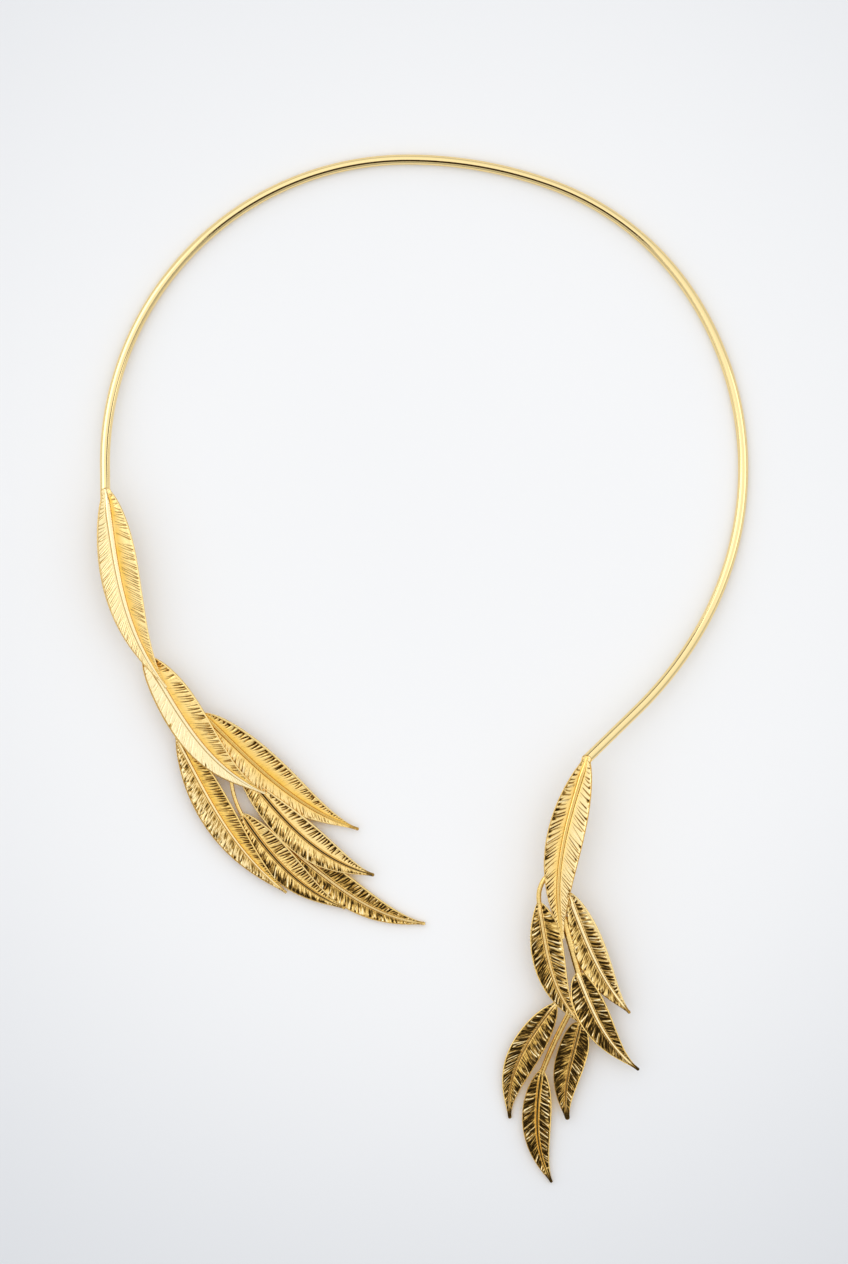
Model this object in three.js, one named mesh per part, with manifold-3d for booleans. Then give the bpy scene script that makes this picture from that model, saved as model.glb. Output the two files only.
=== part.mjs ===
// Open leaf choker: a springy round wire collar whose two ends carry soldered sprays of
// cast lance-shaped leaves. Millimetres, +Z up; the choker lies on its back on z = 0, the
// nape of the neck toward +Y and the opening between the sprays toward -Y.
import * as THREE from 'three';
import { mergeVertices } from 'three/addons/utils/BufferGeometryUtils.js';
import Module from 'manifold-3d';

const wasm = await Module();
wasm.setup();

// ---- collar wire ----
const WIRE_DIAMETER = 2.05;
const WIRE_SIDES = 14;
const WIRE_STEPS = 76;
const RIGHT_END = { x: 33.7, y: -19.2, heading: 44 };
const RIGHT_RISE = { height: 5.5, run: 78 };
const LEFT_RISE = { height: 3.8, run: 62 };
// Each row is one bend of the wire, from the right end round the nape to the left end:
// its radius, and the angle it turns through. A radius of 0 is a straight run of "length".
const BENDS = [
  { radius: 0, length: 15.2, turn: 0 },
  { radius: 77.0, length: 0, turn: 16 },
  { radius: 66.6, length: 0, turn: 24 },
  { radius: 66.0, length: 0, turn: 38 },
  { radius: 58.5, length: 0, turn: 38 },
  { radius: 88.0, length: 0, turn: 20 },
  { radius: 62.8, length: 0, turn: 91 },
  { radius: 0, length: 8.5, turn: 0 },
];

// ---- leaves ----
const BLADE = 0.85;
const MIDRIB = 1.35;
const EDGE_LIFT = 0.15;
const CUP = 0.12;
const VEIN_RELIEF = 0.13;
const VEIN_SWEEP = 0.07;
const RIM_RELIEF = 0.12;
const TIP_HALF = 0.16;
const HANDLE = 0.36;
// Left and right are as met walking from the leaf's base to its tip. "Fullest" is how far
// along the leaf that half is widest, "shoulder" how squarely it opens at the base, "taper"
// how hollow the run to the tip is. The three lifts are the underside of the midrib above
// the table at base, middle and tip, and "roll" in degrees raises the left half.
const LEAF_COLUMNS = [
  'leaf', 'baseX', 'baseY', 'tipX', 'tipY', 'baseHeading', 'tipHeading', 'stalk',
  'leftHalf', 'leftFullest', 'leftShoulder', 'rightHalf', 'rightFullest', 'rightShoulder',
  'taper', 'baseLift', 'midLift', 'tipLift', 'roll', 'veins',
];
const LEFT_LEAVES = [
  ['top', -65.6, 37.6, -52.9, -3.8, -82, -52, 1.0, 4.4, 0.35, 0.62, 3.7, 0.42, 0.68, 1.25, 6.2, 6.3, 5.1, 0, 15],
  ['middle', -57.3, 2.7, -32.5, -25.8, -60, -24, 0.6, 4.6, 0.34, 0.62, 3.5, 0.46, 0.4, 1.4, 4.2, 3.9, 2.6, 0, 14],
  ['inner', -45.6, -9.2, -13.1, -33.3, -44, -18, 0.6, 4.3, 0.4, 0.62, 4.2, 0.4, 0.62, 1.4, 3.8, 1.8, 0.7, 4, 14],
  ['second', -37.3, -20.7, -9.9, -42.8, -52, -14, 0.6, 3.4, 0.54, 1.5, 3.7, 0.5, 0.4, 1.3, 1.6, 1.8, 1.3, 2, 13],
  ['lowest', -28.6, -36.2, 0.7, -52.9, -39, -6, 0.6, 3.2, 0.38, 0.62, 2.95, 0.42, 0.5, 1.2, 0.9, 0.5, 0.0, 2, 13],
  ['outer', -51.0, -14.0, -28.1, -46.5, -63, -38, 0.4, 3.5, 0.36, 0.62, 3.7, 0.42, 0.8, 1.2, 3.4, 1.9, 1.3, 4, 14],
  ['third', -37.5, -30.0, -15.9, -49.7, -57, -22, 0.4, 3.5, 0.37, 0.62, 3.2, 0.42, 0.62, 1.3, 1.7, 1.2, 1.1, 6, 12],
];
const RIGHT_LEAVES = [
  ['top', 34.3, -17.7, 29.3, -55.8, -107, -77, 0.8, 4.0, 0.42, 0.7, 3.7, 0.44, 0.8, 1.1, 7.9, 7.9, 6.4, 0, 14],
  ['middle', 24.1, -47.9, 32.9, -73.4, -80, -46, 0.4, 3.65, 0.3, 0.8, 3.3, 0.42, 0.8, 1.2, 6.0, 4.8, 3.6, 0, 12],
  ['inner', 30.1, -46.0, 43.2, -71.4, -69, -48, 0.6, 3.3, 0.4, 0.62, 3.4, 0.52, 0.85, 1.3, 6.5, 4.6, 3.0, 0, 12],
  ['second', 32.2, -62.8, 45.1, -83.2, -69, -36, 0.8, 3.0, 0.34, 0.48, 3.65, 0.32, 0.6, 1.5, 4.4, 3.2, 2.0, 0, 11],
  ['outer', 27.8, -69.3, 18.3, -93.4, -129, -82, 0.8, 3.8, 0.4, 0.62, 2.85, 0.45, 0.62, 1.4, 3.3, 1.5, 0.0, 0, 12],
  ['third', 32.9, -73.1, 30.3, -93.6, -101, -78, 1.0, 3.1, 0.3, 0.62, 3.3, 0.4, 0.4, 1.2, 2.9, 1.9, 1.0, 0, 10],
  ['lowest', 24.9, -83.0, 27.0, -106.7, -99, -62, 0.6, 3.0, 0.35, 0.7, 3.1, 0.4, 0.7, 1.2, 1.6, 0.8, 0.0, 0, 11],
];

// ---- stalks ----
// Bare stalks that reach from under one leaf to the base of the next: two ends, the bow of
// the stalk to its left, and its radius.
const STALK_SIDES = 8;
const STALK_STEPS = 6;
const LEFT_STALKS = [
  { from: [-39.6, -22.9, 3.6], to: [-37.2, -30.6, 2.1], bow: -0.45, radius: 0.35 },
];
const RIGHT_STALKS = [
  { from: [26.8, -41.8, 8.0], to: [24.6, -49.6, 6.3], bow: -1.35, radius: 0.5 },
  { from: [29.2, -51.2, 6.7], to: [32.8, -64.0, 4.4], bow: 0, radius: 0.72 },
  { from: [30.6, -71.2, 4.1], to: [24.7, -84.4, 1.9], bow: -0.3, radius: 0.6 },
];

const rad = THREE.MathUtils.degToRad;

function toManifold(geometry) {
  geometry.deleteAttribute('normal');
  geometry.deleteAttribute('uv');
  const welded = mergeVertices(geometry, 1e-5);
  return new wasm.Manifold(new wasm.Mesh({
    numProp: 3,
    vertProperties: new Float32Array(welded.attributes.position.array),
    triVerts: new Uint32Array(welded.index.array),
  }));
}

function toGeometry(solid) {
  const mesh = solid.getMesh();
  const geometry = new THREE.BufferGeometry();
  geometry.setAttribute('position', new THREE.BufferAttribute(new Float32Array(mesh.vertProperties), 3));
  geometry.setIndex(new THREE.BufferAttribute(new Uint32Array(mesh.triVerts), 1));
  geometry.computeVertexNormals();
  return geometry;
}

// Skins a run of closed rings and caps both ends with a fan round the ring's middle.
function skin(rings) {
  const count = rings[0].length;
  const points = rings.flat();
  const index = [];
  for (let i = 0; i < rings.length - 1; i += 1) {
    for (let j = 0; j < count; j += 1) {
      const a = i * count + j;
      const b = i * count + ((j + 1) % count);
      index.push(a, b, b + count, a, b + count, a + count);
    }
  }
  const ends = [{ start: 0, flip: true }, { start: (rings.length - 1) * count, flip: false }];
  for (const end of ends) {
    const middle = new THREE.Vector3();
    for (let j = 0; j < count; j += 1) {
      middle.add(points[end.start + j]);
    }
    points.push(middle.divideScalar(count));
    for (let j = 0; j < count; j += 1) {
      const a = end.start + j;
      const b = end.start + ((j + 1) % count);
      index.push(...(end.flip ? [b, a, points.length - 1] : [a, b, points.length - 1]));
    }
  }
  const geometry = new THREE.BufferGeometry().setFromPoints(points);
  geometry.setIndex(index);
  return geometry;
}

function tube(curve, radius, sides, steps) {
  const circle = new THREE.Shape();
  circle.absarc(0, 0, radius, 0, Math.PI * 2, false);
  return new THREE.ExtrudeGeometry(circle, {
    steps,
    curveSegments: sides / 2,
    bevelEnabled: false,
    extrudePath: curve,
  });
}

// ---- collar wire: plan from the bends, height from the rise at each end ----
function wirePlan() {
  const points = [];
  let x = RIGHT_END.x;
  let y = RIGHT_END.y;
  let heading = rad(RIGHT_END.heading);
  let travelled = 0;
  points.push({ x, y, travelled });
  for (const bend of BENDS) {
    const turn = rad(bend.turn);
    const length = bend.radius > 0 ? bend.radius * turn : bend.length;
    const pieces = Math.ceil(length / 4);
    for (let i = 0; i < pieces; i += 1) {
      const step = length / pieces;
      const mid = heading + turn / pieces / 2;
      x += step * Math.cos(mid);
      y += step * Math.sin(mid);
      heading += turn / pieces;
      travelled += step;
      points.push({ x, y, travelled });
    }
  }
  return { points, length: travelled };
}

function rise(end, distance) {
  const left = Math.max(0, 1 - distance / end.run);
  return end.height * left * left;
}

function neckWire() {
  const plan = wirePlan();
  const path = plan.points.map((p) => new THREE.Vector3(
    p.x,
    p.y,
    WIRE_DIAMETER / 2 + rise(RIGHT_RISE, p.travelled) + rise(LEFT_RISE, plan.length - p.travelled),
  ));
  return tube(new THREE.CatmullRomCurve3(path), WIRE_DIAMETER / 2, WIRE_SIDES, WIRE_STEPS);
}

// ---- one leaf ----
function halfWidth(t, half, fullest, shoulder, taper) {
  if (t < fullest) {
    const x = t / fullest;
    return half * (x * (2 - x)) ** shoulder;
  }
  const x = (t - fullest) / (1 - fullest);
  return half * (1 - x * x) ** taper;
}

// Section columns of one half from the midrib out: how far out, how thick the metal is
// there, how much of the vein relief and of the rim it takes.
const SECTION = [
  { out: 0, thick: MIDRIB, vein: 0, rim: 0 },
  { out: 0.13, thick: BLADE, vein: 0.2, rim: 0 },
  { out: 0.5, thick: BLADE, vein: 1, rim: 0 },
  { out: 0.86, thick: BLADE, vein: 1, rim: 0 },
  { out: 1, thick: BLADE - EDGE_LIFT, vein: 0, rim: 1 },
];

function leaf(row) {
  const start = new THREE.Vector2(row.baseX, row.baseY);
  const end = new THREE.Vector2(row.tipX, row.tipY);
  const reach = start.distanceTo(end) * HANDLE;
  const leave = new THREE.Vector2(Math.cos(rad(row.baseHeading)), Math.sin(rad(row.baseHeading)));
  const arrive = new THREE.Vector2(Math.cos(rad(row.tipHeading)), Math.sin(rad(row.tipHeading)));
  const midrib = new THREE.CubicBezierCurve(
    start,
    start.clone().addScaledVector(leave, reach),
    end.clone().addScaledVector(arrive, -reach),
    end,
  );
  const lift = (t) => row.baseLift * (1 - t) * (1 - 2 * t)
    + row.midLift * 4 * t * (1 - t)
    + row.tipLift * t * (2 * t - 1);
  const tilt = Math.tan(rad(row.roll));

  // side +1 is the left half, -1 the right; "under" picks the back of the leaf.
  const place = (station, side, column, ridge, under) => {
    const t = station + VEIN_SWEEP * column.out * 4 * station * (1 - station);
    const half = side > 0
      ? halfWidth(t, row.leftHalf, row.leftFullest, row.leftShoulder, row.taper)
      : halfWidth(t, row.rightHalf, row.rightFullest, row.rightShoulder, row.taper);
    const width = Math.max(half, row.stalk * (1 - t) ** 6, TIP_HALF);
    const centre = midrib.getPoint(t);
    const along = midrib.getTangent(t);
    const across = side * column.out * width;
    const plump = Math.min(1, width / 2);
    let z = lift(t) + CUP * width * column.out ** 1.5 + across * tilt;
    if (under) {
      z += EDGE_LIFT * column.out;
    } else {
      z += column.thick + EDGE_LIFT * column.out;
      z += plump * (ridge * VEIN_RELIEF * column.vein + RIM_RELIEF * column.rim);
    }
    return new THREE.Vector3(centre.x - along.y * across, centre.y + along.x * across, z);
  };

  const stations = row.veins * 2;
  const rings = [];
  for (let i = 0; i <= stations; i += 1) {
    const even = i / stations;
    const station = 0.65 * even + 0.35 * (0.5 - 0.5 * Math.cos(Math.PI * even));
    const ridge = i % 2 === 1 ? 1 : -1;
    const top = [
      ...SECTION.slice(1).reverse().map((column) => place(station, 1, column, ridge, false)),
      place(station, 1, SECTION[0], ridge, false),
      ...SECTION.slice(1).map((column) => place(station, -1, column, ridge, false)),
    ];
    const back = [
      place(station, -1, SECTION[4], ridge, true),
      place(station, 1, SECTION[0], ridge, true),
      place(station, 1, SECTION[4], ridge, true),
    ];
    rings.push([...top, ...back]);
  }
  return skin(rings);
}

function stalk(row) {
  const from = new THREE.Vector3(...row.from);
  const to = new THREE.Vector3(...row.to);
  const along = to.clone().sub(from).normalize();
  const middle = from.clone().lerp(to, 0.5);
  middle.x -= along.y * row.bow * 2;
  middle.y += along.x * row.bow * 2;
  return tube(new THREE.QuadraticBezierCurve3(from, middle, to), row.radius, STALK_SIDES, STALK_STEPS);
}

// Leaves and stalks bite into one another where they cross, so their union is one soldered body.
function spray(leafRows, stalks) {
  const named = leafRows.map((cells) => Object.fromEntries(
    LEAF_COLUMNS.map((column, i) => [column, cells[i]]),
  ));
  const shapes = [...named.map(leaf), ...stalks.map(stalk)];
  return toGeometry(shapes.map(toManifold).reduce((whole, solid) => whole.add(solid)));
}

function gold(name) {
  return new THREE.MeshStandardMaterial({ name, color: 0xd9b45f, metalness: 1, roughness: 0.3 });
}

const choker = new THREE.Group();
choker.name = 'leaf_choker';
const pieces = [
  { name: 'neck_wire', geometry: toGeometry(toManifold(neckWire())) },
  { name: 'left_spray', geometry: spray(LEFT_LEAVES, LEFT_STALKS) },
  { name: 'right_spray', geometry: spray(RIGHT_LEAVES, RIGHT_STALKS) },
];
for (const piece of pieces) {
  const mesh = new THREE.Mesh(piece.geometry, gold(`${piece.name}_gold`));
  mesh.name = piece.name;
  choker.add(mesh);
}

// The origin is the middle of the choker's footprint, on the surface it lies on.
const bounds = new THREE.Box3().setFromObject(choker);
const middle = bounds.getCenter(new THREE.Vector3());
for (const mesh of choker.children) {
  mesh.geometry.translate(-middle.x, -middle.y, -bounds.min.z);
}

export default choker;
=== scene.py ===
"""Leaf choker: polished gold-plated collar wire with two sprays of cast leaves.

The wire and every leaf and stalk are detailed meshes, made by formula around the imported
frame. Sizes in the tables are millimetres in the drawing's own axes, and each group is then
set on the middle of its CAD node's box. The studio's sizes are metres.
"""
import math

import bpy
import numpy as np
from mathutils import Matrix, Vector


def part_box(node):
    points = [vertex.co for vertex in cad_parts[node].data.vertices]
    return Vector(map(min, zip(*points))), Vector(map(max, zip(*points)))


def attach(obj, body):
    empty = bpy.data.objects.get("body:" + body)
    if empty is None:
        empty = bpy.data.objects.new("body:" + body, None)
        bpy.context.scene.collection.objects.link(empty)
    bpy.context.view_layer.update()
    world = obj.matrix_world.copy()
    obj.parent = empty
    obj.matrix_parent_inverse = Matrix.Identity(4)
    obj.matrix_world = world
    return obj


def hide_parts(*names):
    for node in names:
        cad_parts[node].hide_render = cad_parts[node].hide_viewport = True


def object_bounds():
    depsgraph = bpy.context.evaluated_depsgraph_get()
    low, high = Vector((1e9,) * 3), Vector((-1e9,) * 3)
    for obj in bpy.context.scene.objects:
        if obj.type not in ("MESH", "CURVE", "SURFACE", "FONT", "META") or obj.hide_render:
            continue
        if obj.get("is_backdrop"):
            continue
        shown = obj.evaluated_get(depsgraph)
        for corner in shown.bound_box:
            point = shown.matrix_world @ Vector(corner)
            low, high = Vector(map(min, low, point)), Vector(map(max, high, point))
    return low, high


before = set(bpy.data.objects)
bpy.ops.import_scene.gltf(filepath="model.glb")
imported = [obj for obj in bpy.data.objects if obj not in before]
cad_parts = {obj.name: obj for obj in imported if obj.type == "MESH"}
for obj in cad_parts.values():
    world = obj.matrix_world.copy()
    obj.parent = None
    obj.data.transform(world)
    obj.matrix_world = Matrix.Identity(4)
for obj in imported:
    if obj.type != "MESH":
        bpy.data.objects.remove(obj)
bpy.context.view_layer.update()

MM = 0.001

# ---- collar wire: its rise at each end is a height and the run that it takes ----
WIRE_RADIUS = 2.05 / 2
WIRE_SIDES = 48
WIRE_STEP = 1.0
RIGHT_END = (33.7, -19.2)
RIGHT_HEADING = 44.0
RIGHT_RISE = (5.5, 78.0)
LEFT_RISE = (3.8, 62.0)
# Straight runs are (0, length, 0) and bends (radius, 0, degrees), from the right end on.
BENDS = [
    (0, 15.2, 0), (77.0, 0, 16), (66.6, 0, 24), (66.0, 0, 38),
    (58.5, 0, 38), (88.0, 0, 20), (62.8, 0, 91), (0, 8.5, 0),
]
# The last run of each end comes up by this much, to the back of the leaf soldered on it.
JOINT_RUN = 24.0
RIGHT_JOINT = 0.74
LEFT_JOINT = 0.80
END_ROUNDING = 0.6
END_POINTS = 8

# ---- leaves: thickness of the blade, height of the edge over the back, half width of the
# CAD's tip, length of the curve's handles as a share of the leaf, and the CAD's cup ----
BLADE = 0.85
EDGE_LIFT = 0.15
TIP_HALF = 0.16
HANDLE = 0.36
CAD_CUP = 0.12
# The run of each leaf's midrib: its ends in plan, its headings there in degrees, the height
# of its underside at base, middle and tip, and the roll in degrees that raises the left half.
# Left and right are as met walking from base to tip. These are the CAD's values, except that
# the right spray's "outer" is 0.4 mm higher at its base and 0.1 mm at its middle.
MIDRIB_COLUMNS = [
    "leaf", "base_x", "base_y", "tip_x", "tip_y", "base_heading", "tip_heading", "base_lift",
    "mid_lift", "tip_lift", "roll",
]
LEFT_MIDRIBS = [
    ["top",    -65.6,  37.6, -52.9,  -3.8, -82, -52, 6.2, 6.3, 5.1, 0],
    ["middle", -57.3,   2.7, -32.5, -25.8, -60, -24, 4.2, 3.9, 2.6, 0],
    ["inner",  -45.6,  -9.2, -13.1, -33.3, -44, -18, 3.8, 1.8,  .7, 4],
    ["second", -37.3, -20.7,  -9.9, -42.8, -52, -14, 1.6, 1.8, 1.3, 2],
    ["lowest", -28.6, -36.2,    .7, -52.9, -39,  -6,  .9,  .5,  .0, 2],
    ["outer",  -51.0, -14.0, -28.1, -46.5, -63, -38, 3.4, 1.9, 1.3, 4],
    ["third",  -37.5, -30.0, -15.9, -49.7, -57, -22, 1.7, 1.2, 1.1, 6],
]
RIGHT_MIDRIBS = [
    ["top",    34.3, -17.7, 29.3,  -55.8, -107, -77, 7.9, 7.9, 6.4, 0],
    ["middle", 24.1, -47.9, 32.9,  -73.4,  -80, -46, 6.0, 4.8, 3.6, 0],
    ["inner",  30.1, -46.0, 43.2,  -71.4,  -69, -48, 6.5, 4.6, 3.0, 0],
    ["second", 32.2, -62.8, 45.1,  -83.2,  -69, -36, 4.4, 3.2, 2.0, 0],
    ["outer",  27.8, -69.3, 18.3,  -93.4, -129, -82, 3.7, 1.6,  .0, 0],
    ["third",  32.9, -73.1, 30.3,  -93.6, -101, -78, 2.9, 1.9, 1.0, 0],
    ["lowest", 24.9, -83.0, 27.0, -106.7,  -99, -62, 1.6,  .8,  .0, 0],
]
# The outline of each leaf: half its width at the base, and for each half its full width, how
# far along the leaf it is fullest and how squarely it opens before that. The taper says how
# hollow the run to the tip is. The CAD has "top" narrower at its base, 1.0 and 0.8.
OUTLINE_COLUMNS = [
    "leaf", "stalk", "left_half", "left_fullest", "left_shoulder", "right_half",
    "right_fullest", "right_shoulder", "taper",
]
LEFT_OUTLINES = [
    ["top",    1.3, 4.4, .35,  .62, 3.70, .42, .68, 1.25],
    ["middle",  .6, 4.6, .34,  .62, 3.50, .46, .40, 1.40],
    ["inner",   .6, 4.3, .40,  .62, 4.20, .40, .62, 1.40],
    ["second",  .6, 3.4, .54, 1.50, 3.70, .50, .40, 1.30],
    ["lowest",  .6, 3.2, .38,  .62, 2.95, .42, .50, 1.20],
    ["outer",   .4, 3.5, .36,  .62, 3.70, .42, .80, 1.20],
    ["third",   .4, 3.5, .37,  .62, 3.20, .42, .62, 1.30],
]
RIGHT_OUTLINES = [
    ["top",    1.2, 4.00, .42, .70, 3.70, .44, .80, 1.1],
    ["middle",  .4, 3.65, .30, .80, 3.30, .42, .80, 1.2],
    ["inner",   .6, 3.30, .40, .62, 3.40, .52, .85, 1.3],
    ["second",  .8, 3.00, .34, .48, 3.65, .32, .60, 1.5],
    ["outer",   .8, 3.80, .40, .62, 2.85, .45, .62, 1.4],
    ["third",  1.0, 3.10, .30, .62, 3.30, .40, .40, 1.2],
    ["lowest",  .6, 3.00, .35, .70, 3.10, .40, .70, 1.2],
]
# The relief of each half of a leaf, left and right as met walking from base to tip. Lengths
# are in mm, and places across the half run from 0 at the midrib to 1 at the rim.
# pitch, angle, stroke: spacing of the cut veins, their angle to the midrib in degrees, and
# half their thickness
# cup, dip: rise of the half toward its rim, and how far it sags before that
# cut, start, end: strength of the cuts, and the places across the half where they start
# and end
# flash, notch: share of the crests that are polished bright, with a painted highlight, and of
# the places near the rim that have a deep short cut
# rim: width of the rim as a share of the leaf's half width
RELIEF_COLUMNS = [
    "leaf", "side", "pitch", "angle", "stroke", "cup", "dip", "cut", "start", "end", "flash",
    "notch", "rim",
]
LEFT_RELIEF = [
    ["top",    "left",  .50, 48, .085, .08,  .12,  .55, .15, 1.10, .0, .0, .10],
    ["top",    "right", .55, 46, .090, .02,  .00,  .52, .05, 1.10, .0, .0, .08],
    ["middle", "left",  .52, 54, .110, .08,  .10,  .75, .30, 1.10, .0, .0, .12],
    ["middle", "right", .80, 45, .160, .02,  .00,  .22, .05, 1.10, .0, .1, .08],
    ["inner",  "left",  .68, 60, .170, .08,  .12, 1.00, .40, 1.10, .0, .3, .12],
    ["inner",  "right", .90, 55, .160, .05,  .00,  .55, .15, 1.00, .1, .1, .08],
    ["second", "left",  .68, 62, .180, .08,  .10, 1.00, .26, 1.10, .0, .2, .12],
    ["second", "right", .92, 60, .150, .06,  .00,  .50, .25,  .98, .2, .3, .09],
    ["lowest", "left",  .68, 60, .170, .09,  .08, 1.00, .12, 1.00, .4, .0, .14],
    ["lowest", "right", .85, 58, .190, .07,  .00,  .90, .35, 1.00, .6, .5, .09],
    ["outer",  "left",  .58, 54, .130, .09,  .10,  .85, .35, 1.10, .0, .1, .12],
    ["outer",  "right", .86, 58, .200, .02, -.04,  .90, .66, 1.00, .2, .8, .08],
    ["third",  "left",  .66, 66, .160, .09,  .08, 1.00, .22, 1.05, .0, .0, .12],
    ["third",  "right", .90, 58, .180, .06,  .00,  .75, .15,  .98, .2, .4, .08],
]
RIGHT_RELIEF = [
    ["top",    "left",  .80, 45, .10, .09,  .00,  .75, .05, 1.00, .3,  .4, .07],
    ["top",    "right", .82, 48, .12, .09,  .05,  .90, .10, 1.00, .2, 1.0, .07],
    ["middle", "left",  .84, 52, .19, .09,  .08, 1.00, .02,  .98, .6,  .0, .10],
    ["middle", "right", .80, 50, .16, .09, -.04,  .95, .10,  .95, .7,  .2, .07],
    ["inner",  "left",  .84, 55, .20, .09,  .08, 1.00, .02,  .92, .6,  .0, .12],
    ["inner",  "right", .85, 50, .20, .09, -.06, 1.00, .62,  .98, .6, 1.0, .07],
    ["second", "left",  .78, 52, .17, .09,  .08, 1.00, .20,  .98, .5,  .0, .10],
    ["second", "right", .78, 50, .17, .09, -.05,  .90, .10,  .95, .3,  .2, .08],
    ["outer",  "left",  .80, 56, .17, .09,  .02, 1.00, .32,  .98, .7,  .3, .07],
    ["outer",  "right", .78, 44, .17, .09,  .02,  .95, .05,  .98, .7,  .0, .08],
    ["third",  "left",  .82, 50, .18, .09,  .05, 1.00, .05,  .94, .6,  .2, .08],
    ["third",  "right", .80, 50, .18, .09, -.03, 1.00, .30,  .96, .5,  .3, .06],
    ["lowest", "left",  .80, 50, .18, .09,  .05, 1.00, .05,  .94, .7,  .2, .08],
    ["lowest", "right", .82, 52, .18, .09, -.03, 1.00, .12,  .96, .6,  .3, .06],
]
# The tones of each half: antique tone left in the metal, with painted dark reflection, beside
# the midrib (near) and toward the rim (far), strength of the fine hatching (grain), deep orange
# gold beside the midrib, a painted reflection of gold in gold (warm), pale gold over the blade,
# painted paler on a half that faces the light (pale), and painted shade in the crease beside
# the midrib (crease) and on the rim (edge).
TONE_COLUMNS = [
    "leaf", "side", "near", "far", "grain", "warm", "pale", "crease", "edge",
]
LEFT_TONES = [
    ["top",    "left",  .00, .03, .20,  .9, .50, .30, .10],
    ["top",    "right", .00, .00, .20,  .1, .75, .36, .30],
    ["middle", "left",  .00, .10, .38,  .8, .36, .16, .00],
    ["middle", "right", .00, .02, .22,  .0, .90, .36, .40],
    ["inner",  "left",  .00, .08, .30, 1.0, .35, .25, .00],
    ["inner",  "right", .02, .08, .60,  .5, .50, .45, .15],
    ["second", "left",  .00, .24, .20,  .3, .50, .25, .00],
    ["second", "right", .10, .52, .85,  .4, .50, .60, .16],
    ["lowest", "left",  .56, .48, .50,  .4, .20, .50, .05],
    ["lowest", "right", .70, .18, .70,  .5, .20, .80, .34],
    ["outer",  "left",  .16, .32, .40, 1.0, .12, .20, .08],
    ["outer",  "right", .44, .00, .80,  .4, .70, .60, .45],
    ["third",  "left",  .22, .16, .30,  .4, .35, .45, .00],
    ["third",  "right", .22, .92, .90,  .4, .40, .75, .30],
]
RIGHT_TONES = [
    ["top",    "left",   .02, .02, .26, .3, .70,  .60, .40],
    ["top",    "right",  .06, .08, .30, .6, .50,  .45, .30],
    ["middle", "left",   .62, .30, .55, .4, .20,  .60, .05],
    ["middle", "right",  .68, .80, .80, .3, .10,  .90, .20],
    ["inner",  "left",   .66, .08, .50, .2, .50,  .40, .00],
    ["inner",  "right",  .66, .02, .80, .3, .30, 1.00, .70],
    ["second", "left",   .86, .78, .70, .3, .10,  .50, .05],
    ["second", "right", 1.04, .80, .80, .3, .10,  .90, .00],
    ["outer",  "left",   .58, .92, .80, .3, .05,  .70, .32],
    ["outer",  "right", 1.00, .70, .75, .3, .05,  .80, .05],
    ["third",  "left",   .94, .80, .80, .3, .05,  .70, .10],
    ["third",  "right",  .66, .98, .70, .3, .05,  .85, .48],
    ["lowest", "left",  1.00, .78, .80, .3, .05,  .30, .05],
    ["lowest", "right",  .88, .86, .75, .4, .05,  .30, .40],
]
# The midrib and the tip of each leaf: half the rib's width as a share of the leaf's half
# width, tone of a painted dark line along its crown that stands for a dark reflection, pale
# gold on it as a painted highlight, half the width of the blunt tip in mm, and a darker tone
# at the tip.
RIB_COLUMNS = ["share", "crown", "pale", "blunt", "dark_tip"]
LEFT_RIBS = {
    "top": (.150, .00, 1.0, .22, .0),
    "middle": (.120, .10, 1.0, .22, .0),
    "inner": (.110, .34, .10, .28, .4),
    "second": (.130, 1.1, .45, .32, .6),
    "lowest": (.130, .28, .60, .28, .2),
    "outer": (.100, .05, .70, .25, .3),
    "third": (.130, 1.1, .35, .25, .3),
}
RIGHT_RIBS = {
    "top": (.130, .30, .25, .25, .0),
    "middle": (.105, .28, .50, .25, .2),
    "inner": (.120, .00, .80, .28, .5),
    "second": (.110, .00, .80, .28, .8),
    "outer": (.075, .80, .80, .34, .8),
    "third": (.090, 1.1, .60, .48, .8),
    "lowest": (.120, 1.7, .05, .28, .8),
}
# The leaf soldered on the wire has painted shade at its base edge, where it lies on the wire,
# over a run in mm.
SEAM_LEAF = "top"
SEAM_SHADE = 0.45
SEAM_SHADE_RUN = (0.05, 0.4)
# The dark tip fades over this run back from the tip, in mm.
DARK_TIP_RUN = (0.6, 2.8)
# Marks of the graver: share of the veins that are cut, spacing of the notches in veins and
# their reach across the half, half thicknesses, and depths.
CUT_SHARE = 0.92
NOTCH_SPACING = 1.3
NOTCH_REACH = (0.80, 1.05)
FLASH_HALF = 0.16
NOTCH_HALF = 0.24
CUT_DEPTH = 0.30
FLASH_HEIGHT = 0.05
NOTCH_DEPTH = 0.18
# How single marks differ: place in pitches, places across the half where they start and end,
# thickness and depth as a range to draw from, slant and bend in mm as a mean and a deviation.
PLACE_RANGE = (-0.25, 0.25)
START_RANGE = (-0.12, 0.14)
END_RANGE = (-0.12, 0.06)
THICKNESS_RANGE = (0.75, 1.2)
DEPTH_RANGE = (0.6, 1.0)
SLANT_SPREAD = (0.0, 0.24)
BEND_SPREAD = (0.22, 0.16)
# A mark fades in round its start, and out round its end. From one to the other it thickens
# and deepens, from the first share by the second.
FADE_IN = (-0.06, 0.12)
FADE_OUT = (-0.06, 0.05)
THICKENS = (0.65, 0.55)
DEEPENS = (0.75, 0.25)
# A polished crest is painted as a highlight, brighter than its mark by a gain, and takes off a
# share of the antique tone and painted shade. That tone goes from near to far between two
# places across the half.
FLASH_GAIN = 1.4
FLASH_CLEARS = 0.95
NEAR_TO_FAR = (0.25, 0.85)
# Share of the leaf at each end that has no marks, and where across a half its sag is over.
PLAIN_END = 0.05
SAG_TO = 0.8
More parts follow.
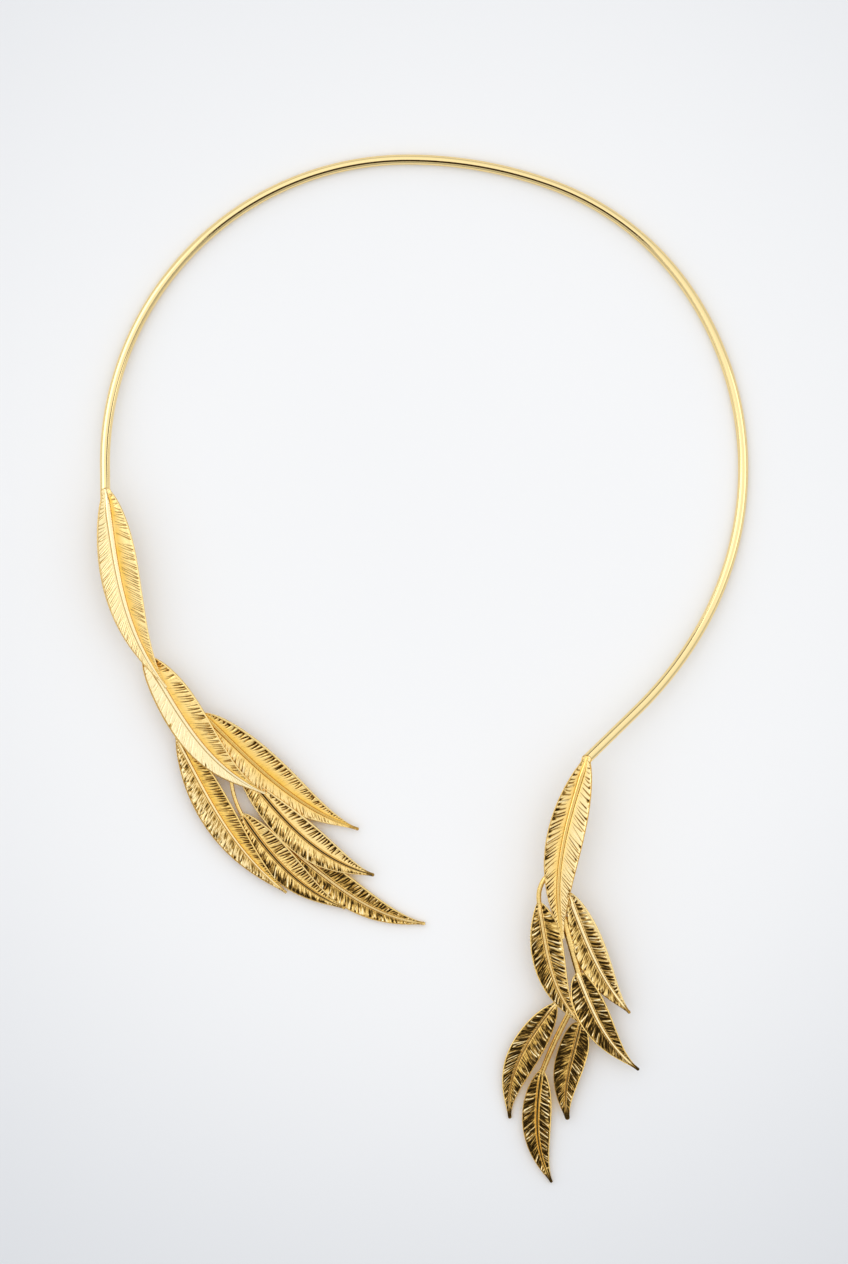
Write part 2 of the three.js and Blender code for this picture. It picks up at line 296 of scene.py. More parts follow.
# Length of the rounding at the base, as a share of the leaf's half width there, the places
# along the leaf between which the blunt tip takes over, and the least share of the width.
BASE_ROUNDING = 0.8
BLUNT_RUN = (0.5, 0.95)
LEAST_WIDTH = 0.03
# The midrib and the rim take at most these shares of a half. The midrib is lower toward the
# tip by a share of its height.
RIDGE_LIMIT = 0.26
RIM_LIMIT = 0.24
MIDRIB_HEIGHT = 0.32
MIDRIB_FALL = 0.35
CREASE_DEPTH = 0.06
# The rim stands over the blade, and from a place across it turns down to its edge.
RIM_HEIGHT = 0.06
RIM_TURN = 0.6
RIM_ROUNDING = 0.22
# Powers of the place across a half by which its front and its back rise.
BLADE_CURL = 2.2
BACK_CURL = 1.5
# Middle of the deep gold, a painted reflection of gold in gold, in half widths of the midrib,
# how far across a half it reaches, and the share of the grain on rib and rim.
WARM_FROM = 1.1
WARM_REACH = 0.34
QUIET_GRAIN = 0.2
# Where a half is narrower than this, in mm, its relief is scaled down with it.
PLUMP_HALF = 2.0
# Spacing of the stations along a leaf in mm, and how far they crowd toward its ends.
STATION_STEP = 0.085
END_CROWDING = 0.1
# Places of the columns of points on one half: on the midrib and in the crease beside it in
# half widths of the midrib, across the blade, and across the rim. Then those on the back,
# as a side and a share of its width.
RIDGE_AT = [0.28, 0.6, 0.85, 1.0, 1.12, 1.3]
BLADE_AT = [k / 12 for k in range(1, 13)]
RIM_AT = [0.12, 0.35, 0.6, 0.82, 0.95, 1.0]
BACK_AT = [("right", 0.985), ("right", 0.6), ("left", 0.0), ("left", 0.6), ("left", 0.985)]
BACK_TONES = {"patina": 0.12, "warm": 0.2, "pale": 0.2, "grain": 0.3}
LAYERS = ["patina", "warm", "pale", "grain", "flow"]

# ---- stalks: two ends, bow to the left, radius, and a painted dark line of shade and dark
# reflection along the bar, as its place in degrees round the bar from its right-hand side and
# its depth ----
LEFT_STALKS = {"third": ((-39.6, -22.9, 3.6), (-37.2, -30.6, 2.1), -0.45, 0.42, 30, 0.0)}
RIGHT_STALKS = {
    "middle": ((26.8, -41.8, 8.0), (24.6, -49.6, 6.3), -1.35, 0.5, 150, 0.4),
    "second": ((29.2, -51.2, 6.7), (32.8, -64.0, 4.4), 0.0, 0.72, 35, 0.95),
    "lowest": ((30.6, -71.2, 4.1), (24.7, -84.4, 1.9), -0.3, 0.6, 75, 0.75),
}
# Half the painted shade line's width in degrees round the bar.
SHADE_LINE_HALF = 16.0
STALK_TONES = {"patina": 0.08, "warm": 0.3, "pale": 0.4, "grain": 0.15}
WIRE_TONES = {"patina": 0.0, "warm": 0.0, "pale": 0.6, "grain": 0.0}
STALK_SIDES = 24
STALK_STEPS = 40

# ---- light and camera ----
FLOOR_DROP = 0.0001
FLOOR_HALF = 1.5
VIEW_HEIGHT = 0.2629
VIEW_CENTRE = (0.0002, 0.0077)
CAMERA_HEIGHT = 1.6
FILM_HEIGHT = 36.0
# The brown card: a fan from one angle to the other round a centre, in degrees and metres.
CARD_CENTRE = (0.0, 0.040)
CARD_RADIUS = 0.061
CARD_HEIGHT = 0.060
CARD_FROM = 46
CARD_TO = 132
CARD_STEPS = 24
CARD_BROWN = (0.045, 0.024, 0.004, 1)
SKY = (0.985, 0.99, 1.0, 1)
# Brightness of the sky by direction: from and to along z, x and y, and the strength at each.
SKY_UP = (-0.1, 0.8, 0.50, 1.11)
SKY_ACROSS = (-0.7, 0.7, 1.10, 0.92)
SKY_ALONG = (-0.75, -0.15, 0.62, 1.0)
# The lamps: name, place, size, power in watts, and whether the metal's reflections or the
# paper sees it.
LAMPS = [
    ("window_left", (-0.85, 0.35, 0.75), (0.7, 0.9), 2.2, "metal"),
    ("fill_right", (0.9, 0.1, 0.6), (0.5, 0.7), 0.8, "metal"),
    ("top", (0.0, 0.1, 1.5), (1.6, 1.6), 3.8, "paper"),
]


def smooth(low, high, value):
    x = np.clip((value - low) / (high - low), 0.0, 1.0)
    return x * x * (3 - 2 * x)


# ---------------------------------------------------------------- meshes
def mesh_object(name, points, faces, material, layers):
    mesh = bpy.data.meshes.new(name)
    mesh.from_pydata(points.tolist(), [], faces)
    for layer, values in layers.items():
        kind = "FLOAT" if values.ndim == 1 else "FLOAT_VECTOR"
        made = mesh.attributes.new(layer, kind, "POINT")
        field = "value" if values.ndim == 1 else "vector"
        made.data.foreach_set(field, values.astype(np.float32).ravel())
    mesh.polygons.foreach_set("use_smooth", [True] * len(mesh.polygons))
    mesh.materials.append(material)
    mesh.update()
    piece = bpy.data.objects.new(name, mesh)
    bpy.context.scene.collection.objects.link(piece)
    return piece


def ring_faces(rings, count):
    """Quads between closed rings of points and a fan on each end ring's own middle point."""
    faces = []
    for i in range(rings - 1):
        for j in range(count):
            a = i * count + j
            b = i * count + (j + 1) % count
            faces.append((a, b, b + count, a + count))
    first = rings * count
    last = (rings - 1) * count
    for j in range(count):
        k = (j + 1) % count
        faces.append((k, j, first))
        faces.append((last + j, last + k, first + 1))
    return faces


def skinned(name, rings, material, layers):
    """rings is stations x ring points x 3, in mm; layers are stations x ring points (x 3)."""
    stations, count, _ = rings.shape
    ends = np.array([rings[0].mean(0), rings[-1].mean(0)])
    points = np.vstack([rings.reshape(-1, 3), ends]) * MM
    flat = {}
    for layer, values in layers.items():
        tail = values.shape[2:]
        caps = np.stack([values[0].mean(0), values[-1].mean(0)])
        flat[layer] = np.concatenate([values.reshape((-1,) + tail), caps])
    return mesh_object(name, points, ring_faces(stations, count), material, flat)


# ---------------------------------------------------------------- one leaf
class Midrib:
    """Plan curve, heights and plain half widths of one leaf, by the CAD's formulas."""

    def __init__(self, row):
        self.row = row
        start = np.array([row["base_x"], row["base_y"]])
        end = np.array([row["tip_x"], row["tip_y"]])
        reach = np.linalg.norm(end - start) * HANDLE
        leave = math.radians(row["base_heading"])
        arrive = math.radians(row["tip_heading"])
        self.points = [
            start,
            start + reach * np.array([math.cos(leave), math.sin(leave)]),
            end - reach * np.array([math.cos(arrive), math.sin(arrive)]),
            end,
        ]
        at = self.place(np.linspace(0, 1, 200))
        self.length = np.linalg.norm(np.diff(at, axis=0), axis=1).sum()

    def place(self, t):
        u = 1 - t
        a, b, c, d = self.points
        weights = [u ** 3, 3 * u * u * t, 3 * u * t * t, t ** 3]
        return sum(w[..., None] * p for w, p in zip(weights, (a, b, c, d)))

    def along(self, t):
        u = 1 - t
        a, b, c, d = self.points
        weights = [u * u, 2 * u * t, t * t]
        slope = sum(w[..., None] * p for w, p in zip(weights, (b - a, c - b, d - c)))
        return slope / np.linalg.norm(slope, axis=-1, keepdims=True)

    def lift(self, t):
        row = self.row
        return (row["base_lift"] * (1 - t) * (1 - 2 * t)
                + row["mid_lift"] * 4 * t * (1 - t)
                + row["tip_lift"] * t * (2 * t - 1))

    def width(self, t, side):
        row = self.row
        half = row[side + "_half"]
        fullest = row[side + "_fullest"]
        opening = np.clip(t / fullest, 0, 1)
        closing = np.clip((t - fullest) / (1 - fullest), 0, 1)
        grown = (opening * (2 - opening)) ** row[side + "_shoulder"]
        width = half * np.where(t < fullest, grown, (1 - closing * closing) ** row["taper"])
        return np.maximum(np.maximum(width, row["stalk"] * (1 - t) ** 6), TIP_HALF)


def cast_width(midrib, rib, t, side):
    """Half width of the cast leaf: the plain outline with a blunt tip and rounded ends."""
    base = np.clip(t * midrib.length / (BASE_ROUNDING * midrib.row["stalk"]), 0, 1)
    tip = np.clip((1 - t) * midrib.length / rib["blunt"], 0, 1)
    rounding = np.sqrt(1 - (1 - base) ** 2) * np.sqrt(1 - (1 - tip) ** 2)
    blunt = rib["blunt"] * smooth(*BLUNT_RUN, t)
    return np.hypot(midrib.width(t, side), blunt) * np.maximum(LEAST_WIDTH, rounding)


def plumpness(half_width):
    """Scale of the relief: 1 where the half is broad, and less where it narrows."""
    return np.minimum(1, half_width / PLUMP_HALF)


def midrib_height(plump, t):
    return MIDRIB_HEIGHT * plump * (1 - MIDRIB_FALL * t)


def outward(midrib, t, sign):
    """Direction in plan from the midrib to the rim of one half."""
    along = midrib.along(t)
    return np.stack([-along[:, 1], along[:, 0]], 1) * sign


def strokes(length, draws, pitch, share, start, end, thickness):
    """Marks of the graver on one half, each with its own place, ends, slant, bend and depth."""
    count = int(round(length / pitch))
    place = (np.arange(count) + 0.5 + draws.uniform(*PLACE_RANGE, count)) * length / count
    start = start + draws.uniform(*START_RANGE, count)
    end = end + draws.uniform(*END_RANGE, count)
    half = thickness * draws.uniform(*THICKNESS_RANGE, count)
    slant = draws.normal(*SLANT_SPREAD, count)
    bend = draws.normal(*BEND_SPREAD, count)
    depth = draws.uniform(*DEPTH_RANGE, count) * (draws.random(count) < share)
    return list(zip(place, start, end, half, slant, bend, depth))


def marked(marks, run, across):
    """Depth of the deepest mark at every place along one column of the half. Each mark is
    narrow and shallow where it starts, beside the midrib."""
    total = np.zeros_like(run)
    for place, start, end, half, slant, bend, depth in marks:
        if depth > 0 and start + FADE_IN[0] < across < end + FADE_OUT[1]:
            done = min(1.0, max(0.0, (across - start) / max(0.1, end - start)))
            begun = smooth(start + FADE_IN[0], start + FADE_IN[1], across)
            ended = smooth(end + FADE_OUT[0], end + FADE_OUT[1], across)
            middle = place + slant * (across - 0.5) - bend * done * done
            off = (run - middle) / (half * (THICKENS[0] + THICKENS[1] * done))
            deep = depth * (DEEPENS[0] + DEEPENS[1] * done) * (begun * (1 - ended))
            total = np.maximum(total, deep * np.exp(-off ** 4))
    return total


class Half:
    """One half of a leaf's front, drawn in columns of points from the midrib to the rim."""

    def __init__(self, midrib, side, look, rib, station, draws):
        row = midrib.row
        self.midrib = midrib
        self.side = side
        self.look = look
        self.rib = rib
        self.station = station
        self.run = station * midrib.length
        self.sign = 1.0 if side == "left" else -1.0
        self.tilt = math.tan(math.radians(row["roll"]))
        self.sweep = row[side + "_half"] / math.tan(math.radians(look["angle"])) / midrib.length
        broad = (row["left_half"] + row["right_half"]) / 2
        ridge = rib["share"] * broad * (1 - 0.5 * station)
        self.width = cast_width(midrib, rib, station, side)
        self.ridge = np.minimum(ridge, RIDGE_LIMIT * self.width)
        self.rim = np.minimum(look["rim"] * broad, RIM_LIMIT * self.width)
        ends = (look["start"], look["end"])
        self.cuts = self.marks(draws, 1.0, CUT_SHARE, ends, look["stroke"])
        self.flashes = self.marks(draws, 1.0, look["flash"], ends, FLASH_HALF)
        self.notches = self.marks(draws, NOTCH_SPACING, look["notch"], NOTCH_REACH, NOTCH_HALF)

    def marks(self, draws, spacing, share, ends, thickness):
        """One kind of mark, at a spacing counted in veins."""
        pitch = spacing * self.look["pitch"]
        return strokes(self.midrib.length, draws, pitch, share, *ends, thickness)

    def columns(self):
        made = [self.column(self.on_ridge, self.ridge * value, value) for value in RIDGE_AT]
        inner = RIDGE_AT[-1] * self.ridge
        for value in BLADE_AT:
            x = inner + value * (self.width - self.rim - inner)
            made.append(self.column(self.on_blade, x, value))
        for value in RIM_AT:
            x = self.width - self.rim * (1 - value)
            made.append(self.column(self.on_rim, x, value))
        return made

    def column(self, finish, x, value):
        """Points and tones of one column at x from the midrib. finish adds the relief and
        the tones of the part of the half that it is on, and value is its place there."""
        midrib, look, station = self.midrib, self.look, self.station
        out = x / self.width
        # The outline is taken at the swept place, so that the leaf keeps its plan.
        t = np.clip(station + self.sweep * out * 4 * station * (1 - station), 0, 1)
        full = cast_width(midrib, self.rib, t, self.side)
        x = out * full
        plump = plumpness(full)
        body = smooth(0.0, PLAIN_END, t) * (1 - smooth(1 - PLAIN_END, 1.0, t))
        sag = look["dip"] * plump * np.sin(np.pi * np.minimum(out / SAG_TO, 1)) ** 2
        height = midrib.lift(t) + BLADE + look["cup"] * full * out ** BLADE_CURL
        height += self.sign * x * self.tilt * out - sag
        reach = (x - WARM_FROM * self.ridge) / (WARM_REACH * full + 0.05)
        made = {
            "t": t,
            "plump": plump,
            "body": body,
            "height": height,
            "patina": np.zeros_like(t),
            # Deep gold beside the midrib is a painted reflection of gold in gold; pale gold is
            # painted paler on a half that faces the light.
            "warm": look["warm"] * np.exp(-reach ** 2) * body,
            "pale": np.full_like(t, look["pale"]),
            "grain": np.full_like(t, look["grain"]),
            "flow": np.column_stack([self.run, self.sign * x, np.zeros_like(x)]),
        }
        finish(made, value)
        made["patina"] += self.end_tone(t)
        plan = midrib.place(t) + outward(midrib, t, self.sign) * x[:, None]
        made["place"] = np.column_stack([plan, made["height"]])
        return made

    def on_ridge(self, made, value):
        """The rounded midrib and the crease beside it."""
        t, plump, body = made["t"], made["plump"], made["body"]
        in_crease = smooth(0.8, 1.0, value) * (1 - smooth(1.12, 1.3, value))
        made["height"] += midrib_height(plump, t) * (1 - min(value, 1.0) ** 5)
        made["height"] -= CREASE_DEPTH * plump * in_crease
        # Painted shade in the crease beside the midrib, and a painted dark line on its crown
        # that stands for a dark reflection.
        made["patina"] += self.look["crease"] * plump * smooth(0.03, 0.12, t) * in_crease
        made["patina"] += self.rib["crown"] * body * (1 - smooth(0.2, 0.7, value))
        # Pale gold on the midrib is a painted highlight.
        made["pale"] = np.full_like(t, self.rib["pale"])
        made["warm"] *= smooth(0.6, 1.0, value)
        made["grain"] *= QUIET_GRAIN

    def on_blade(self, made, value):
        """The engraved blade: cut veins, crests polished bright with painted highlights, and
        notches near the rim.
        """
        look, body = self.look, made["body"]
        groove = marked(self.cuts, self.run, value) * look["cut"] * body
        bright = np.minimum(1, FLASH_GAIN * marked(self.flashes, self.run, value)) * body
        notch = marked(self.notches, self.run, value) * body
        relief = FLASH_HEIGHT * bright - CUT_DEPTH * groove - NOTCH_DEPTH * notch
        # Antique tone with painted dark reflection over the field, from near the midrib to far,
        # and antique tone in the cuts.
        field = look["near"] + (look["far"] - look["near"]) * smooth(*NEAR_TO_FAR, value)
        dark = np.clip(field * body + groove, 0, 1)
        made["height"] += made["plump"] * relief
        made["patina"] += dark * (1 - FLASH_CLEARS * bright) + notch
        # Polished crests are painted pale gold as highlights.
        made["pale"] += (1 - made["pale"]) * bright
        made["grain"] *= 1 - bright

    def on_rim(self, made, value):
        """The raised rim, rounded over at its edge. The blade's tone runs on over its foot."""
        look, plump = self.look, made["plump"]
        turned = max(0.0, value - RIM_TURN) ** 2 / (1 - RIM_TURN) ** 2
        made["height"] += RIM_HEIGHT * plump * math.sin(min(1.0, value * 1.25) * math.pi / 2)
        made["height"] -= RIM_ROUNDING * plump * turned
        # Painted shade on the rim, less at its very edge.
        made["patina"] += look["edge"] * (1 - 0.7 * smooth(0.7, 0.95, value))
        made["patina"] += (0.4 * look["far"] + 0.15 * look["cut"]) * max(0.0, 1 - value / 0.3)
        # Its rounded edge is painted less pale as shade, and deep gold as a painted reflection
        # of gold in gold.
        made["pale"] = (0.15 + 0.7 * made["pale"]) * (1 - 0.8 * smooth(0.75, 0.95, value))
        made["warm"] += 0.4 * smooth(0.8, 1.0, value)
        made["grain"] *= QUIET_GRAIN

    def end_tone(self, t):
        """A darker tone at the tip, and painted shade at the base of the leaf that is soldered
        on the wire.
        """
        length = self.midrib.length
        tone = self.rib["dark_tip"] * (1 - smooth(*DARK_TIP_RUN, (1 - t) * length))
        if self.midrib.row["leaf"] == SEAM_LEAF:
            tone = tone + SEAM_SHADE * (1 - smooth(*SEAM_SHADE_RUN, t * length))
        return tone


def back_column(midrib, side, out, cup, rib, station):
    """One column on the plain back. out is its place across the half, from 0 to 1."""
    sign = 1.0 if side == "left" else -1.0
    full = cast_width(midrib, rib, station, side)
    x = out * full
    height = midrib.lift(station) + cup * full * out ** BACK_CURL + EDGE_LIFT * out
    height += sign * x * math.tan(math.radians(midrib.row["roll"]))
    plan = midrib.place(station) + outward(midrib, station, sign) * x[:, None]
    made = {key: np.full_like(station, value) for key, value in BACK_TONES.items()}
    made["place"] = np.column_stack([plan, height])
    made["flow"] = np.column_stack([station * midrib.length, sign * x, np.ones_like(x)])
    return made


def crown_column(midrib, rib, station, beside):
    """The column on top of the midrib. beside holds the columns next to it."""
    nothing = station * 0
    plump = plumpness(cast_width(midrib, rib, station, "left"))
    top = midrib.lift(station) + BLADE + midrib_height(plump, station)
    return {
        "place": np.column_stack([midrib.place(station), top]),
        "patina": (beside[0]["patina"] + beside[1]["patina"]) / 2,
        "warm": nothing,
        "pale": (beside[0]["pale"] + beside[1]["pale"]) / 2,
        "grain": nothing,
        "flow": np.column_stack([station * midrib.length, nothing, nothing]),
    }


def leaf(name, row, looks, rib, material, shift, seed):
    midrib = Midrib(row)
    even = np.linspace(0, 1, int(midrib.length / STATION_STEP))
    # Stations are closer together at both ends, where the outline is rounded.
    crowded = 0.5 - 0.5 * np.cos(np.pi * even)
    station = (1 - END_CROWDING) * even + END_CROWDING * crowded
    draws = np.random.default_rng(seed)
    left = Half(midrib, "left", looks["left"], rib, station, draws).columns()
    right = Half(midrib, "right", looks["right"], rib, station, draws).columns()
    crown = crown_column(midrib, rib, station, (left[0], right[0]))
    back = [back_column(midrib, side, out, looks[side]["cup"], rib, station)
            for side, out in BACK_AT]
    ring = left[::-1] + [crown] + right + back
    rings = np.stack([column["place"] for column in ring], 1) + shift
    layers = {key: np.stack([column[key] for column in ring], 1) for key in LAYERS}
    return skinned(name, rings, material, layers)


# ---------------------------------------------------------------- tubes
def tube(name, path, radius, sides, material, shift, tones, shade_line_at=0.0, shade_line_depth=0.0):
    """A round bar along a path of points in mm, its section kept upright. tones holds one
    value for each of its layers; the line is painted shade and dark reflection along the bar."""
    along = np.gradient(path, axis=0)
    along /= np.linalg.norm(along, axis=1, keepdims=True)
    side = np.cross(along, [0, 0, 1])
    side /= np.linalg.norm(side, axis=1, keepdims=True)
    up = np.cross(side, along)
    turn = np.arange(sides, 0, -1) / sides * 2 * np.pi
    ring = (np.cos(turn)[None, :, None] * side[:, None, :]
            + np.sin(turn)[None, :, None] * up[:, None, :])
    radii = np.broadcast_to(np.asarray(radius, float), len(path))
    rings = path[:, None, :] + ring * radii[:, None, None] + shift
    run = np.concatenate([[0], np.cumsum(np.linalg.norm(np.diff(path, axis=0), axis=1))])
    flow = np.zeros(rings.shape)
    flow[..., 0] = run[:, None]
    flow[..., 1] = (turn * np.mean(radii))[None, :]
    layers = {key: np.full(rings.shape[:2], value) for key, value in tones.items()}
    # A painted dark line along the bar, in place of shade and dark reflection.
    layers["patina"] += shade_line_depth * np.exp(-((np.degrees(turn) - shade_line_at) / SHADE_LINE_HALF) ** 2)
    layers["flow"] = flow
    return skinned(name, rings, material, layers)


def wire_path():
    """The middle of the wire, from its right end to its left one."""
    x, y = RIGHT_END
    heading = math.radians(RIGHT_HEADING)
    points = [(x, y)]
    for radius, length, turn in BENDS:
        angle = math.radians(turn)
        run = radius * angle if radius else length
        pieces = math.ceil(run / WIRE_STEP)
        for _ in range(pieces):
            middle = heading + angle / pieces / 2
            x += run / pieces * math.cos(middle)
            y += run / pieces * math.sin(middle)
            heading += angle / pieces
            points.append((x, y))
    plan = np.array(points)
    gone = np.concatenate([[0], np.cumsum(np.linalg.norm(np.diff(plan, axis=0), axis=1))])
    left = gone[-1] - gone
    height = WIRE_RADIUS + sum(
        high * np.maximum(0, 1 - distance / run) ** 2
        for (high, run), distance in ((RIGHT_RISE, gone), (LEFT_RISE, left))
    )
    # The last run of each end comes up to the back of the leaf that is soldered on it.
    height += RIGHT_JOINT * (1 - smooth(0, JOINT_RUN, gone))
    height += LEFT_JOINT * (1 - smooth(0, JOINT_RUN, left))
    return np.column_stack([plan, height])


def rounded_ends(path):
    """More points near both ends of the wire, and its radius at each, for the filed ends."""
    steps = np.linalg.norm(np.diff(path, axis=0), axis=1)
    gone = np.concatenate([[0], np.cumsum(steps)])
    fine = END_ROUNDING * (1 - np.cos(np.linspace(0, np.pi / 2, END_POINTS)))
    run = np.unique(np.concatenate([fine, gone, gone[-1] - fine]))
    left = np.minimum(run, gone[-1] - run)
    off = 1 - np.clip(left / END_ROUNDING, 0, 1)
    radius = WIRE_RADIUS - END_ROUNDING * (1 - np.sqrt(1 - off ** 2))
    denser = np.column_stack([np.interp(run, gone, path[:, k]) for k in range(3)])
    return denser, radius


def stalk_path(start, end, bow):
    """A bar bent in a parabola, whose middle stands off the straight line by bow."""
    start = np.array(start)
    end = np.array(end)
    along = (end - start) / np.linalg.norm(end - start)
    middle = (start + end) / 2 + np.array([-along[1], along[0], 0]) * bow * 2
    t = np.linspace(0, 1, STALK_STEPS + 1)[:, None]
    return (1 - t) ** 2 * start + 2 * t * (1 - t) * middle + t * t * end


# ---------------------------------------------------------------- materials
class Nodes:
    """Short forms for building a node tree."""

    def __init__(self, tree):
        self.tree = tree

    def add(self, kind, **settings):
        node = self.tree.nodes.new(kind)
        for key, value in settings.items():
            setattr(node, key, value)
        return node

    def join(self, source, target):
        self.tree.links.new(source, target)

    def feed(self, socket, value):
        if isinstance(value, bpy.types.NodeSocket):
            self.join(value, socket)
        else:
            socket.default_value = value

    def math(self, operation, *values):
        node = self.add("ShaderNodeMath", operation=operation)
        for socket, value in zip(node.inputs, values):
            self.feed(socket, value)
        return node.outputs[0]

    def ease(self, value, low, high, to_low=0.0, to_high=1.0):
        node = self.add("ShaderNodeMapRange", interpolation_type="SMOOTHSTEP")
        for socket, given in zip(node.inputs, (value, low, high, to_low, to_high)):
            self.feed(socket, given)
        return node.outputs[0]

    def mix(self, factor, a, b):
        """Two colours mixed: a colour mix has them at inputs 6 and 7 and its result at 2."""
        node = self.add("ShaderNodeMix", data_type="RGBA")
        self.feed(node.inputs[0], factor)
        self.feed(node.inputs[6], a)
        self.feed(node.inputs[7], b)
        return node.outputs[2]

    def noise(self, vector, scale, detail=3.0, roughness=0.55):
        node = self.add("ShaderNodeTexNoise")
        self.join(vector, node.inputs["Vector"])
        node.inputs["Scale"].default_value = scale
        node.inputs["Detail"].default_value = detail
        node.inputs["Roughness"].default_value = roughness
        return node.outputs["Fac"]

    def layer(self, name, output="Fac"):
        """One of the layers of values that each mesh carries."""
        node = self.add("ShaderNodeAttribute", attribute_name=name)
        return node.outputs[output]

    def bump(self, height, strength, depth):
        node = self.add("ShaderNodeBump")
        node.inputs["Strength"].default_value = strength
        node.inputs["Distance"].default_value = depth
        self.join(height, node.inputs["Height"])
        return node

    def stretched(self, vector, scale):
        node = self.add("ShaderNodeMapping")
        self.join(vector, node.inputs["Vector"])
        node.inputs["Scale"].default_value = scale
        return node.outputs["Vector"]


# The pale gold also paints highlights, the deep gold reflections of gold in gold, and the
# bronze and the near-black shade and dark reflections, as well as patina.
PALE_GOLD = (0.97, 0.83, 0.50, 1)
GOLD = (0.95, 0.655, 0.185, 1)
DEEP_GOLD = (0.90, 0.55, 0.10, 1)
BRONZE = (0.50, 0.29, 0.065, 1)
ANTIQUE_AND_SHADE = (0.036, 0.020, 0.005, 1)
GRAZING_GOLD = (1.0, 0.80, 0.45, 1)
# Roughness of each gold, and the strengths of the relief of its hatching and its cast grain.
FINISHES = {
    "wire_gold": (0.09, 0.06, 0.03),
    "left_leaf_gold": (0.19, 0.5, 0.35),
    "right_leaf_gold": (0.17, 0.5, 0.35),
}
# The hatching is noise drawn out across the leaf, in mm of its own flow. The cast grain and
# the clouds are noise in the object's metres.
HATCH_STRETCH = (3.6, 0.55, 1.0)
HATCH_SHARE = 0.84
HATCH_DEPTH = 0.00010
CAST_SCALE = 3200.0
CAST_DEPTH = 0.00003
CLOUD_SCALE = 260.0
GRAIN_TONE = 4.8
# Antique tone and painted shade between which the gold turns to bronze, and the bronze to
# black.
BRONZE_TONE = (0.04, 0.48)
ANTIQUE_AND_SHADE_TONE = (0.42, 0.90)
# Clouds vary the deep gold by a factor and an offset, and the roughness by a range. Antique
# tone and painted shade are rougher by up to the last value.
CLOUDED_WARM = (1.2, 0.4)
CLOUDED_ROUGH = 0.10
ANTIQUE_AND_SHADE_ROUGH = 0.14

PAPER = (0.872, 0.877, 0.884, 1)
PAPER_LIGHTER = (0.892, 0.897, 0.904, 1)
PAPER_SHADED_FAR = (0.655, 0.672, 0.700, 1)
PAPER_GOLDEN = (0.95, 0.80, 0.48, 1)
PAPER_CLOUDS = 9.0
PAPER_ROUGHNESS = 0.85
PAPER_SHINE = 0.2
# Painted shade: the paper is painted greyer far from the choker, where the light falls off.
# The paper greys between these distances from the choker's middle, in metres. Shares of x
# and y are taken off the distance, because the photo's paper greys later up and right.
FALLOFF_SHADE_RANGE = (0.05, 0.23)
FALLOFF_SHADE_LEAN_X = 0.04
FALLOFF_SHADE_LEAN_Y = 0.25
# How near the metal the paper takes its golden tone, painted in place of bounce light, in
# metres, and how open the spot is where that begins and is full.
GOLDEN_REACH = 0.005
GOLDEN_OPEN = (0.58, 0.12)
GOLDEN_SAMPLES = 8


def gold(name, roughness, hatched, pitted):
    """Gold plate over cast metal: hatching along the veins, a cast grain, an antique tone in
    the cuts, and paler, deeper or darker gold as each layer of the mesh says, which also paints
    highlights, reflections and shade. hatched and pitted are the strengths of the relief of
    the hatching and of the cast grain."""
    material = bpy.data.materials.new(name)
    material.use_nodes = True
    nodes = Nodes(material.node_tree)
    shader = material.node_tree.nodes["Principled BSDF"]
    shader.inputs["Metallic"].default_value = 1.0
    shader.inputs["Specular Tint"].default_value = GRAZING_GOLD
    flow = nodes.layer("flow", "Vector")
    where = nodes.add("ShaderNodeTexCoord").outputs["Object"]
    hatch = nodes.noise(nodes.stretched(flow, HATCH_STRETCH), 1.0, 2.0, 0.6)
    cast = nodes.noise(where, CAST_SCALE, 3.0, 0.6)
    cloud = nodes.noise(where, CLOUD_SCALE, 2.0)
    hatched_part = nodes.math("MULTIPLY", hatch, HATCH_SHARE)
    texture = nodes.math("ADD", hatched_part, nodes.math("MULTIPLY", cast, 1 - HATCH_SHARE))
    texture = nodes.math("MULTIPLY", nodes.math("SUBTRACT", texture, 0.5), nodes.layer("grain"))
    patina = nodes.math("MULTIPLY_ADD", texture, GRAIN_TONE, nodes.layer("patina"))
    clouded = nodes.math("MULTIPLY_ADD", cloud, *CLOUDED_WARM)
    warm = nodes.math("MULTIPLY", nodes.layer("warm"), clouded)
    # The layers paint highlights in pale gold, reflections of gold in gold in deep gold, and
    # shade in bronze and black, over the antique tone.
    metal = nodes.mix(nodes.layer("pale"), GOLD, PALE_GOLD)
    metal = nodes.mix(nodes.math("MINIMUM", warm, 1.0), metal, DEEP_GOLD)
    metal = nodes.mix(nodes.ease(patina, *BRONZE_TONE), metal, BRONZE)
    metal = nodes.mix(nodes.ease(patina, *ANTIQUE_AND_SHADE_TONE), metal, ANTIQUE_AND_SHADE)
    nodes.join(metal, shader.inputs["Base Color"])
    rough = nodes.math("MULTIPLY_ADD", cloud, CLOUDED_ROUGH, roughness - CLOUDED_ROUGH / 2)
    rough = nodes.math("ADD", rough, nodes.ease(patina, 0.0, 1.0, 0.0, ANTIQUE_AND_SHADE_ROUGH))
    nodes.join(rough, shader.inputs["Roughness"])
    hatches = nodes.bump(hatch, hatched, HATCH_DEPTH)
    pits = nodes.bump(cast, pitted, CAST_DEPTH)
    nodes.join(hatches.outputs["Normal"], pits.inputs["Normal"])
    nodes.join(pits.outputs["Normal"], shader.inputs["Normal"])
    return material


